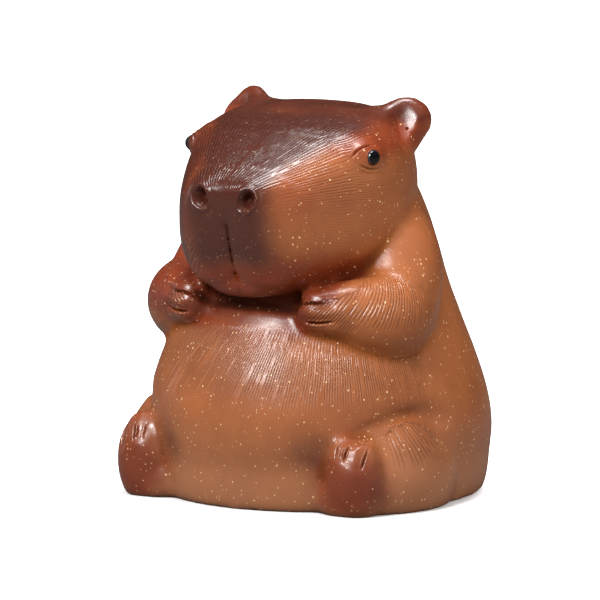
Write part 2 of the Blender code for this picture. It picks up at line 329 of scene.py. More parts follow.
@dataclass(frozen=True)
class FiredClay:
    """Polished stoneware: warm clay with airbrushed purple and red, pale flecks and fine combed strokes.
    It has painted shade in its strokes, creases and recesses, and a painted reflection of the table near the
    base.

    Scales are in lumps to the metre, cells and depths in metres, and a fleck's radii in cells. Shades say
    how much of the pit's dark colour is laid on as painted shade.
    """

    clay: Colour = from_srgb(165, 94, 49)
    clay_dull: Colour = from_srgb(148, 82, 43)
    # Painted reflection of the pale table: the colour the clay turns toward near the base.
    table_reflection: Colour = from_srgb(168, 112, 78)
    red: Colour = from_srgb(130, 51, 21)
    purple: Colour = from_srgb(76, 35, 25)
    raw: Colour = from_srgb(150, 100, 72)
    fleck: Colour = from_srgb(238, 196, 142)
    ember: Colour = from_srgb(206, 132, 76)
    # The dark colour of the painted shade in strokes, creases, recesses and pinholes.
    pit: Colour = from_srgb(46, 18, 11)
    patch_scale: float = 55
    # How high the painted reflection of the table reaches, and how strong it is at the base.
    table_reflection_height: float = 0.022
    table_reflection_share: float = 0.70
    paint_edge_scale: float = 160
    paint_edge_shake: float = 0.45
    # Painted shade: how far the combed strokes, the creases and the recesses are darkened.
    stroke_shade: float = 0.28
    crease_shade: float = 0.45
    hollow_shade: float = 0.9
    raw_share: float = 0.8
    polish: float = 0.32
    polish_scale: float = 900
    polish_shake: float = 0.16
    purple_polish: float = 0.13
    fleck_roughness: float = 0.10
    sunk_roughness: float = 0.35
    raw_roughness: float = 0.72
    index: float = 1.52
    specular: tuple[float, float] = (0.5, 0.03)
    coat: float = 0.45
    coat_roughness: float = 0.26
    fleck_cell: float = 0.00086
    fleck_radii: tuple[float, float] = (0.06, 0.24)
    grit_cell: float = 0.00062
    grit_radii: tuple[float, float] = (0.04, 0.15)
    pit_cell: float = 0.0060
    pit_radii: tuple[float, float] = (0.012, 0.030)
    fleck_presence: tuple[float, float] = (0.16, 0.22)
    fleck_edge: float = 0.05
    shake_scale: float = 2600
    shake_reach: float = 0.00036
    wobble_scale: float = 240
    wobble: float = 0.5
    stroke_edge: tuple[float, float] = (0.02, 0.36)
    stroke_presence: tuple[float, float] = (0.30, 0.52)
    stroke_depth: float = 0.00010
    grain_scale: float = 2400
    grain_depth: float = 0.000016
    hand_scale: float = 230
    hand_depth: float = 0.00012
    speck_depth: float = 0.00006

    def strokes(self, wires: Wiring, place: Socket) -> Socket:
        """Combed strokes from the numbers painted on the mesh.

        Args:
            wires: the material's nodes.
            place: the point's place.

        Returns:
            How deep the surface is scored, from 0 to 1.
        """
        wobble = wires.times(wires.minus(wires.noise(place, self.wobble_scale, 1.0), 0.5), self.wobble)
        row = wires.attribute("stroke_row")
        layers = []
        for name, offset in (("stroke_line_a", 3.0), ("stroke_line_b", 47.0)):
            line = wires.plus(wires.attribute(name), wobble)
            number = wires.maths("FLOOR", line)
            across = wires.maths("ABSOLUTE", wires.minus(wires.maths("FRACT", line), 0.5))
            cut = wires.span(across, *self.stroke_edge, 1.0, 0.0)
            own = wires.vector(wires.times(number, 7.31), wires.times(row, 2.6), wires.plus(number, offset))
            kept = wires.span(wires.noise(own, 1.0, 1.0), *self.stroke_presence)
            layers.append(wires.times(cut, kept))
        share = wires.attribute("stroke_share")
        first = wires.times(layers[0], share)
        second = wires.times(layers[1], wires.minus(1.0, share))
        return wires.times(wires.maths("MAXIMUM", first, second), wires.attribute("stroke_depth"))

    def flecks(
        self, wires: Wiring, place: Socket, cell: float, radii: tuple[float, float]
    ) -> tuple[Socket, Socket]:
        """Round flecks that show where the surface cuts through them.

        Args:
            wires: the material's nodes.
            place: the point's place.
            cell: the size of the cell that each lies in, in metres.
            radii: the smallest and the largest radius, in cells.

        Returns:
            How much of a fleck the point shows, and the fleck's own random number.
        """
        shaken = wires.noise_vector(place, self.shake_scale, self.shake_reach)
        distance, colour = wires.cells(shaken, 1 / cell)
        size, tone, present = wires.parts(colour)
        depth = wires.minus(wires.span(size, 0.0, 1.0, *radii), distance)
        shown = wires.span(depth, 0.0, self.fleck_edge)
        return wires.times(shown, wires.span(present, *self.fleck_presence)), tone

    def material(self) -> bpy.types.Material:
        """Builds the clay.

        Returns:
            The material.
        """
        wires = Wiring("fired_clay_polished")
        sockets = wires.shader.inputs
        place = wires.object_place()
        purple, red = wires.attribute("zone_purple"), wires.attribute("zone_red")
        inside, hollow = wires.attribute("zone_inside"), wires.attribute("zone_recess_shade")
        crease = wires.attribute("zone_crease_shade")
        patches = wires.span(wires.noise(place, self.patch_scale, 3.0, 0.6), 0.35, 0.68)
        colour = wires.blend(patches, self.clay, self.clay_dull)
        height = wires.add("SeparateXYZ", {0: place})
        # Painted reflection of the pale table: the clay turns paler toward the base.
        table_reflection_mix = wires.span(height.outputs["Z"], 0.0, self.table_reflection_height, self.table_reflection_share, 0.0)
        colour = wires.blend(table_reflection_mix, colour, self.table_reflection)
        edge = wires.noise(place, self.paint_edge_scale, 3.0)
        edge = wires.times(wires.minus(edge, 0.5), self.paint_edge_shake)
        for zone, paint in ((red, self.red), (purple, self.purple)):
            colour = wires.blend(wires.span(wires.plus(zone, edge), 0.0, 1.0), colour, paint)
        strokes = self.strokes(wires, place)
        # Painted shade: the combed strokes, the creases and the recesses are darkened toward the pit colour.
        shades = ((strokes, self.stroke_shade), (crease, self.crease_shade), (hollow, self.hollow_shade))
        for zone, shade in shades:
            colour = wires.blend(wires.times(zone, shade), colour, self.pit)
        grit, grit_tone = self.flecks(wires, place, self.grit_cell, self.grit_radii)
        glow = wires.times(grit, wires.span(grit_tone, 0.1, 1.0, 0.05, 0.55))
        colour = wires.blend(glow, colour, self.ember)
        fleck, tone = self.flecks(wires, place, self.fleck_cell, self.fleck_radii)
        fleck = wires.times(fleck, wires.span(tone, 0.0, 1.0, 0.3, 1.0))
        fleck = wires.times(fleck, wires.span(purple, 0.0, 0.8, 1.0, 0.25))
        colour = wires.blend(fleck, colour, self.fleck)
        # Painted shade in the pinholes, which are also bumped in as pits.
        pits, _ = self.flecks(wires, place, self.pit_cell, self.pit_radii)
        colour = wires.blend(pits, colour, self.pit)
        colour = wires.blend(wires.times(inside, self.raw_share), colour, self.raw)
        wires.join(colour, sockets["Base Color"])
        sunk = wires.maths("MAXIMUM", crease, hollow)
        shaken = wires.times(wires.noise(place, self.polish_scale, 3.0, 0.65), self.polish_shake)
        gloss = wires.plus(self.polish, shaken)
        for zone, rise in (
            (purple, -self.purple_polish),
            (fleck, self.fleck_roughness),
            (sunk, self.sunk_roughness),
            (inside, self.raw_roughness - self.polish),
        ):
            gloss = wires.plus(gloss, wires.times(zone, rise))
        wires.join(gloss, sockets["Roughness"])
        wires.join(wires.span(sunk, 0.0, 0.5, *self.specular), sockets["Specular IOR Level"])
        wires.join(wires.span(wires.plus(sunk, inside), 0.0, 0.4, self.coat, 0.0), sockets["Coat Weight"])
        sockets["IOR"].default_value = self.index
        sockets["Coat Roughness"].default_value = self.coat_roughness
        grain = wires.bump(wires.noise(place, self.grain_scale, 3.0, 0.6), self.grain_depth)
        hand = wires.bump(wires.noise(place, self.hand_scale, 2.0), self.hand_depth, grain)
        specks = wires.bump(wires.plus(pits, wires.times(grit, 0.3)), -self.speck_depth, hand)
        scored = wires.bump(strokes, -self.stroke_depth, specks)
        wires.join(scored, sockets["Normal"])
        wires.join(scored, sockets["Coat Normal"])
        return wires.material


@dataclass(frozen=True)
class BlackBead:
    """A gloss black glass bead, painted greyer at its edge where it meets the clay as a painted reflection.
    """

    glass: Colour = (0.004, 0.004, 0.005)
    # Painted reflection: the grey laid on the bead's rim.
    edge: Colour = from_srgb(58, 58, 62)
    roughness: float = 0.07

    def material(self) -> bpy.types.Material:
        """Builds the bead's glass.

        Returns:
            The material.
        """
        wires = Wiring("black_bead_glass")
        place = wires.object_place()
        # Painted reflection: the rim is greyed and made rougher toward its edge.
        rim = wires.attribute("bead_rim_sheen")
        uneven = wires.noise(place, 1800, 3.0, 0.6)
        share = wires.span(wires.plus(rim, wires.times(uneven, 0.3)), 0.4, 1.1)
        colour = wires.blend(share, self.glass, self.edge)
        wires.join(colour, wires.shader.inputs["Base Color"])
        gloss = wires.plus(self.roughness, wires.times(uneven, 0.05))
        gloss = wires.plus(gloss, wires.times(share, 0.35))
        wires.join(gloss, wires.shader.inputs["Roughness"])
        wires.shader.inputs["IOR"].default_value = 1.52
        scratches = wires.bump(wires.noise(place, 5200, 2.0), 0.000004)
        wires.join(scratches, wires.shader.inputs["Normal"])
        return wires.material


@dataclass(frozen=True)
class PaleTable:
    """A table that the camera sees as white and that throws little light back.
    It keeps its soft shadow near the figure; farther off it glows for the camera, which washes the shadow
    out.
    """

    paint: Colour = (0.92, 0.92, 0.92)
    bounce: Colour = (0.11, 0.11, 0.11)
    middle: Place = (-0.003, -0.008, 0.0)
    near: float = 0.0365
    far: float = 0.042
    lift: float = 1.0

    def material(self) -> bpy.types.Material:
        """Builds the table's finish.

        Returns:
            The material.
        """
        wires = Wiring("pale_table")
        rays = wires.tree.nodes.new("ShaderNodeLightPath")
        length = wires.tree.nodes.new("ShaderNodeVectorMath")
        length.operation = "LENGTH"
        wires.join(wires.vector_maths("SUBTRACT", wires.object_place(), self.middle), length.inputs[0])
        away = wires.span(length.outputs["Value"], self.near, self.far, 0.0, self.lift)
        shown = wires.blend(rays.outputs["Is Camera Ray"], self.bounce, self.paint)
        wires.join(shown, wires.shader.inputs["Base Color"])
        wires.shader.inputs["Roughness"].default_value = 0.9
        wires.shader.inputs["Specular IOR Level"].default_value = 0.0
        wires.shader.inputs["Emission Color"].default_value = (1.0, 1.0, 1.0, 1.0)
        # Painted light: beyond the figure the table glows for the camera, which hides its shadow there.
        lit = wires.times(rays.outputs["Is Camera Ray"], away)
        wires.join(lit, wires.shader.inputs["Emission Strength"])
        return wires.material


class Skin:
    """The clay's surface as arrays of points and normals, to be relaxed, pushed and painted."""

    def __init__(self, mesh: bpy.types.Mesh) -> None:
        """Reads a mesh.

        Args:
            mesh: the mesh that the arrays come from and go back to.
        """
        self.mesh = mesh
        count = len(mesh.vertices)
        self.points = np.empty(count * 3, np.float32)
        mesh.vertices.foreach_get("co", self.points)
        self.points = self.points.reshape(count, 3).astype(float)
        edges = np.empty(len(mesh.edges) * 2, np.int32)
        mesh.edges.foreach_get("vertices", edges)
        self.edges = edges.reshape(-1, 2)
        self.read_normals()

    def store(self) -> None:
        """Writes the points back to the mesh."""
        self.mesh.vertices.foreach_set("co", self.points.astype(np.float32).ravel())
        self.mesh.update()

    def read_normals(self) -> None:
        """Reads the normals of the mesh as it stands."""
        normals = np.empty(len(self.mesh.vertices) * 3, np.float32)
        self.mesh.vertices.foreach_get("normal", normals)
        self.normals = normals.reshape(-1, 3).astype(float)

    def refresh(self) -> None:
        """Stores the points and reads the normals that they give."""
        self.store()
        self.read_normals()

    def relax(self, rounds: int, share: np.ndarray | float = 1.0, swell: float = -0.52) -> None:
        """Evens the surface out without shrinking it, by steps in and out.

        Args:
            rounds: how many pairs of steps there are.
            share: how much each point takes part.
            swell: the step that undoes the shrinking.
        """
        first, second = self.edges[:, 0], self.edges[:, 1]
        count = len(self.points)
        degree = np.bincount(first, minlength=count) + np.bincount(second, minlength=count)
        weight = np.broadcast_to(np.asarray(share, float), (count,))
        for _ in range(rounds):
            for step in (0.5, swell):
                pull = np.empty_like(self.points)
                for axis in range(3):
                    sums = np.bincount(first, self.points[second, axis], count)
                    sums += np.bincount(second, self.points[first, axis], count)
                    pull[:, axis] = sums / degree - self.points[:, axis]
                self.points += pull * (step * weight)[:, None]

    def tree(self) -> BVHTree:
        """A search tree of the surface as it stands."""
        whole = bmesh.new()
        whole.from_mesh(self.mesh)
        found = BVHTree.FromBMesh(whole)
        whole.free()
        return found

    def near(self, centre: Vector, reach: float) -> np.ndarray:
        """The numbers of the points within a distance of a centre."""
        return np.nonzero(np.linalg.norm(self.points - np.array(centre), axis=1) < reach)[0]

    def along(self, path: list[Vector], reach: float) -> tuple[np.ndarray, np.ndarray, np.ndarray]:
        """Finds the points near a path.

        Args:
            path: the path's points.
            reach: how far from it counts, in metres.

        Returns:
            The points' numbers, their distances from the path and how far along it each is, from 0 to 1.
        """
        rows = np.array([tuple(p) for p in path])
        low, high = rows.min(0) - reach, rows.max(0) + reach
        chosen = np.nonzero(((self.points > low) & (self.points < high)).all(1))[0]
        best = np.full(len(chosen), 1e9)
        where = np.zeros(len(chosen))
        spans = np.linalg.norm(np.diff(rows, axis=0), axis=1)
        total = max(spans.sum(), 1e-9)
        done = 0.0
        for a, b, length in zip(rows, rows[1:], spans):
            run = b - a
            t = np.clip((self.points[chosen] - a) @ run / max(length**2, 1e-18), 0, 1)
            gap = np.linalg.norm(self.points[chosen] - a - t[:, None] * run, axis=1)
            closer = gap < best
            best = np.where(closer, gap, best)
            where = np.where(closer, (done + t * length) / total, where)
            done += length
        kept = best < reach
        return chosen[kept], best[kept], where[kept]

    def laid(self, tree: BVHTree, places: tuple[Place, ...], side: Side, steps: int = 8) -> list[Vector]:
        """Lays a path on the surface.

        Args:
            tree: the surface's search tree.
            places: the path's places, in metres, on the figure's left.
            side: the side that it is laid on.
            steps: how many parts each stretch is laid in.

        Returns:
            The points on the surface.
        """
        corners = [mirrored(place, side) for place in places]
        found = []
        for a, b in zip(corners, corners[1:]):
            for step in range(steps):
                found.append(tree.find_nearest(a.lerp(b, step / steps))[0])
        found.append(tree.find_nearest(corners[-1])[0])
        return found


@dataclass(frozen=True)
class Mark:
    """A groove or ridge pressed along a path, with painted shade laid along it. Places are in millimetres, on
    the figure's left.
    """

    name: str
    places: tuple[Place, ...]
    half_width: float
    depth: float
    lip: float = 0.0
    taper: float = 0.2
    spread: Spread = Spread.BOTH
    dark: float = 0.0

    def sides(self) -> tuple[Side, ...]:
        """The sides that the mark is made on."""
        return (Side.LEFT,) if self.spread is Spread.MIDDLE else (Side.LEFT, Side.RIGHT)

    def press(self, skin: Skin, tree: BVHTree, hollow: np.ndarray) -> None:
        """Presses the mark in.

        Args:
            skin: the surface.
            tree: its search tree.
            hollow: the painted shade at each point, which the mark adds to.
        """
        places = tuple(tuple(value * MM for value in place) for place in self.places)
        width, depth, lip = self.half_width * MM, self.depth * MM, self.lip * MM
        for side in self.sides():
            path = skin.laid(tree, places, side)
            chosen, gap, where = skin.along(path, width * 3)
            ends = np.ones(len(where))
            if self.taper:
                ends = smoothstep(0.0, self.taper, where) * smoothstep(1.0, 1.0 - self.taper, where)
            profile = smoothstep(1.0, 0.0, gap / width)
            raised = np.exp(-(((gap - 1.5 * width) / (0.55 * width)) ** 2))
            move = (-depth * profile + lip * raised) * ends
            skin.points[chosen] += skin.normals[chosen] * move[:, None]
            # Painted shade along the groove, as strong as dark says.
            hollow[chosen] = np.maximum(hollow[chosen], self.dark * ends * smoothstep(0.9, 0.1, gap / width))


# Each mark's dark, its last field, is the painted shade laid along its groove.
MARKS = (
    Mark("philtrum", ((0, -32.7, 55.3), (0, -32.4, 53.3), (0, -31.7, 49.3), (0, -31.2, 47.4),
                      (0, -30.4, 45.5)), 0.32, 0.30, 0.05, 0.15, Spread.MIDDLE, 0.3),
    Mark("mouth corner", ((0, -30.4, 45.4), (0, -30.2, 45.1)), 0.36, 0.40, 0.0, 0.01, Spread.MIDDLE, 0.5),
    Mark("chin line", ((0, -30.4, 44.9), (0, -28.9, 42.6), (0, -27.4, 41.2)), 0.28, 0.10, 0.0, 0.3,
         Spread.MIDDLE, 0.2),
    Mark("lip", ((0.2, -30.6, 45.5), (3.0, -31.0, 45.0), (6.2, -29.6, 45.2), (9.0, -27.5, 46.2)),
         0.55, 0.05, taper=0.4),
    Mark("upper lid", ((17.9, -16.9, 67.5), (18.2, -16.3, 68.2), (18.5, -15.7, 69.0), (19.1, -14.7, 69.75),
                       (19.8, -13.4, 70.0), (20.3, -12.0, 69.8)), 0.34, 0.34, 0.08, 0.3, dark=0.5),
    Mark("lower lid", ((18.6, -16.2, 66.9), (19.3, -15.2, 66.2), (20.0, -13.8, 65.55), (20.8, -12.0, 65.4),
                       (21.2, -10.6, 66.0)), 0.34, 0.20, 0.10, 0.35, dark=0.15),
    Mark("upper finger", ((11.3, -25.9, 40.0), (14.0, -25.6, 40.2), (17.6, -24.4, 40.3)),
         0.36, 0.62, 0.12, 0.35, dark=0.7),
    Mark("lower finger", ((12.9, -26.1, 36.8), (15.5, -25.6, 36.7), (19.0, -23.8, 37.1)),
         0.34, 0.58, 0.14, 0.3, dark=0.7),
    Mark("inner toe", ((22.0, -27.4, 15.0), (21.9, -28.6, 13.0), (22.0, -29.2, 11.2)),
         0.30, 0.28, 0.05, 0.4, dark=0.4),
    Mark("middle toe", ((24.5, -27.2, 14.8), (24.1, -28.6, 12.6), (23.9, -29.3, 10.6)),
         0.27, 0.45, 0.10, 0.35, dark=0.45),
    Mark("middle toe edge", ((23.7, -27.9, 14.4), (23.4, -28.8, 12.8), (23.3, -29.3, 11.4)),
         0.26, 0.25, 0.04, 0.4, dark=0.5),
    Mark("outer toe", ((27.9, -25.8, 13.9), (27.6, -27.2, 11.8), (27.3, -28.3, 9.2)),
         0.27, 0.40, 0.10, 0.35, dark=0.4),
    Mark("thigh crease", ((21.0, -26.5, 15.0), (24.6, -22.8, 16.4), (27.4, -18.0, 17.9), (29.0, -13.0, 18.8),
                          (30.6, -8.4, 18.3)), 1.8, 0.62, 0.0, 0.35, dark=0.22),
    # Painted shade along the fold between the jaw and the forearm; it is not pressed in.
    Mark("jaw line", ((2.5, -24.5, 38.8), (8.0, -24.4, 39.8), (12.3, -25.0, 41.1), (15.4, -23.8, 42.8),
                      (16.5, -19.5, 43.8), (17.0, -14.5, 44.8), (19.3, -11.1, 46.9), (21.2, -9.8, 48.7),
                      (22.6, -8.0, 50.4)), 1.5, 0.0, 0.0, 0.15, dark=0.3),
    # Painted shadow under the chin, over a shallow groove.
    Mark("neck shade", ((0, -24.6, 38.6), (6.0, -24.4, 38.9), (12.0, -25.0, 40.2)),
         2.0, 0.4, 0.0, 0.0, dark=0.95),
)


@dataclass(frozen=True)
class Nudge:
    """A soft pull on the skin within a ball. Places and sizes are in millimetres, on the figure's left."""

    name: str
    middle: Place
    reach: float
    move: Place = (0.0, 0.0, 0.0)
    eased: int = 0
    sides: tuple[Side, ...] = (Side.LEFT, Side.RIGHT)

    def apply(self, skin: Skin) -> None:
        """Pulls the skin on its sides, then evens it out.

        Args:
            skin: the surface.
        """
        for side in self.sides:
            middle = mirrored(self.middle, side) * MM
            gap = np.linalg.norm(skin.points - np.array(middle), axis=1) / (self.reach * MM)
            fade = smoothstep(1.0, 0.0, gap)
            skin.points += np.array(mirrored(self.move, side))[None, :] * MM * fade[:, None]
            if self.eased:
                skin.relax(self.eased, fade, 0.0)


NUDGES = (
    Nudge("ear root", (16.2, -2.0, 72.2), 4.6, (0.5, -0.9, 0.2)),
    Nudge("near ear lobe", (22.4, 3.3, 70.4), 3.6, (-1.9, -0.3, 0.0), 0, (Side.LEFT,)),
    Nudge("near ear rim", (22.8, 3.8, 72.2), 2.8, (-1.4, 0.0, 0.0), 0, (Side.LEFT,)),
    Nudge("ear fold", (18.0, -0.6, 70.6), 3.6, (0.2, -0.3, 0.0), 14),
    Nudge("thigh fold end", (31.0, -8.0, 18.5), 5.0, (0.0, 0.0, 0.0), 16),
    Nudge("thigh", (29.0, -14.0, 14.0), 7.5, (0.9, -0.7, 0.8)),
    Nudge("near foot top", (24.4, -25.0, 16.6), 5.2, (0.0, 0.9, -2.0), 4, (Side.LEFT,)),
    Nudge("far ear", (23.2, 3.0, 71.6), 5.0, (1.8, -0.8, 0.0), 0, (Side.RIGHT,)),
    Nudge("belly top", (3.5, -25.0, 36.6), 8.5, (0.0, 0.0, 0.5)),
    Nudge("chin", (2.5, -27.6, 41.6), 5.5, (0.0, 0.0, -0.4)),
)


@dataclass
class Nostril:
    """One oval nostril with a rolled rim. Places and sizes are in millimetres, on the figure's left."""

    middle: Place = (5.1, -33.9, 60.6)
    top: Place = (6.1, -33.5, 63.0)
    half_width: float = 1.60
    half_height: float = 1.95
    depth: float = 1.7
    rim: float = 0.42
    rim_place: float = 1.32
    rim_width: float = 0.26
    slope: float = 0.35
    facing: Place = (0.22, -0.90, 0.30)

    def press(self, skin: Skin, tree: BVHTree, hollow: np.ndarray) -> None:
        """Presses both nostrils in and rolls their rims out.

        Args:
            skin: the surface.
            tree: its search tree.
            hollow: the painted shade at each point, which the nostril adds to.
        """
        for side in Side:
            middle, normal = tree.find_nearest(mirrored(self.middle, side) * MM)[:2]
            up = mirrored(self.top, side) * MM - middle
            up = (up - normal * up.dot(normal)).normalized()
            across = up.cross(normal)
            chosen = skin.near(middle, 6 * MM)
            out = skin.points[chosen] - np.array(middle)
            u = out @ np.array(across) / (self.half_width * MM)
            v = out @ np.array(up) / (self.half_height * MM)
            reach = np.hypot(u, v)
            pit = smoothstep(1.12, 0.15, reach) * (1 + self.slope * np.clip(v, -1, 1))
            rim = np.exp(-(((reach - self.rim_place) / self.rim_width) ** 2))
            move = (-self.depth * pit + self.rim * rim) * MM
            skin.points[chosen] += np.array(normal) * move[:, None]
            # Painted shade in the nostril's pit.
            hollow[chosen] = np.maximum(hollow[chosen], 0.5 * smoothstep(0.95, 0.4, reach))


@dataclass
class EyeSocket:
    """The round socket that a bead sits in. Sizes are in millimetres."""

    clearance: float = 0.08
    opening: float = 1.38
    turn: float = 24.0
    rise: float = 0.10

    def outward(self, side: Side) -> Vector:
        """The way that the eye looks."""
        a = math.radians(self.turn)
        return Vector((side.value * math.cos(a), -math.sin(a), self.rise)).normalized()

    def press(self, skin: Skin, side: Side, middle: Vector, radius: float, hollow: np.ndarray) -> None:
        """Opens one socket: the skin over the bead is laid round behind it.

        Args:
            skin: the surface.
            side: the figure's own side.
            middle: the bead's middle.
            radius: the bead's radius.
            hollow: the painted shade at each point, which the socket adds to.
        """
        inner, hole = radius + self.clearance * MM, self.opening * MM
        outward = np.array(self.outward(side))
        chosen = skin.near(middle, inner * 2.0)
        out = skin.points[chosen] - np.array(middle)
        height = out @ outward
        aside = out - height[:, None] * outward
        radial = np.linalg.norm(aside, axis=1)
        over = (radial < hole) & (height > -0.2 * inner)
        away = aside / np.maximum(radial, 1e-7)[:, None]
        lean = (math.pi - math.asin(hole / inner)) * np.clip(radial / hole, 0, 1)
        laid = np.sin(lean)[:, None] * away - np.cos(lean)[:, None] * outward
        skin.points[chosen[over]] = (np.array(middle) + laid * inner)[over]
        gap = np.maximum(np.linalg.norm(out, axis=1), 1e-7)
        close = ~over & (gap < inner)
        skin.points[chosen[close]] = (np.array(middle) + out * (inner / gap)[:, None])[close]
        # Painted shade on the skin laid round behind the bead.
        hollow[chosen] = np.maximum(hollow[chosen], over.astype(float))


@dataclass
class Ear:
    """The flat, slightly cupped front of an ear and a pinhole in it. Places and sizes are in millimetres."""

    middle: Place = (19.3, 1.8, 72.3)
    facing: Place = (0.225, -0.88, 0.41)
    flat_reach: float = 4.8
    reach: float = 3.2
    depth: float = 0.20
    pinhole: Place = (19.2, 2.0, 71.5)
    pinhole_radius: float = 0.28
    pinhole_depth: float = 0.45
    full_share: float = 0.45
    flatness: float = 0.85

    def press(self, skin: Skin, tree: BVHTree, hollow: np.ndarray) -> None:
        """Cups both ears.

        Args:
            skin: the surface.
            tree: its search tree.
            hollow: the painted shade at each point, which the pinhole adds to.
        """
        for side in Side:
            middle, whole = mirrored(self.middle, side) * MM, self.flat_reach * MM
            facing = np.array(mirrored(self.facing, side).normalized())
            chosen = skin.near(middle, whole)
            out = skin.points[chosen] - np.array(middle)
            fade = smoothstep(whole, self.full_share * whole, np.linalg.norm(out, axis=1))
            fade *= smoothstep(0.0, 0.4, skin.normals[chosen] @ facing)
            skin.points[chosen] -= (out @ facing * fade * self.flatness)[:, None] * facing
            for place, reach, depth, dark in (
                (self.middle, self.reach, self.depth, 0.0),
                (self.pinhole, self.pinhole_radius * 1.6, self.pinhole_depth, 0.95),
            ):
                middle, normal = tree.find_nearest(mirrored(place, side) * MM)[:2]
                chosen = skin.near(middle, reach * MM)
                facing = skin.normals[chosen] @ np.array(normal) > 0.3
                chosen = chosen[facing]
                gap = np.linalg.norm(skin.points[chosen] - np.array(middle), axis=1) / (reach * MM)
                fade = smoothstep(1.0, 0.15, gap)
                skin.points[chosen] -= np.array(normal) * (depth * MM * fade)[:, None]
                # Painted shade in the pinhole; the cup is given none.
                hollow[chosen] = np.maximum(hollow[chosen], dark * smoothstep(0.8, 0.3, gap))


@dataclass
class Torso:
    """The torso's plain form, to tell what stands proud of it. Heights and radii are in millimetres."""

    heights: tuple[float, ...] = (0.0, 3.6, 8.0, 13.0, 19.0, 26.0, 33.0, 41.0, 48.0, 55.0, 61.0)
    fronts: tuple[float, ...] = (32.2, 33.0, 33.4, 34.6, 34.9, 33.1, 29.4, 24.0, 19.4, 15.4, 12.7)
    flanks: tuple[float, ...] = (31.7, 32.7, 33.1, 33.6, 32.7, 30.6, 27.9, 25.0, 23.0, 20.7, 17.7)
    middle_y: float = 1.1

    def girth(self, points: np.ndarray) -> tuple[np.ndarray, np.ndarray]:
        """Where points lie round the torso.

        Args:
            points: places in millimetres.

        Returns:
            Angles from the front toward the figure's left, in degrees, and how far each point stands
            proud, in millimetres.
        """
        x, y, z = points[:, 0], points[:, 1] - self.middle_y, points[:, 2]
        turn = np.degrees(np.arctan2(x, -y))
        front, flank = np.interp(z, self.heights, self.fronts), np.interp(z, self.heights, self.flanks)
        depth = np.where(y < 0, front, flank)
        radius = flank * depth / np.hypot(flank * np.cos(np.radians(turn)), depth * np.sin(np.radians(turn)))
        return turn, np.hypot(x, y) - radius


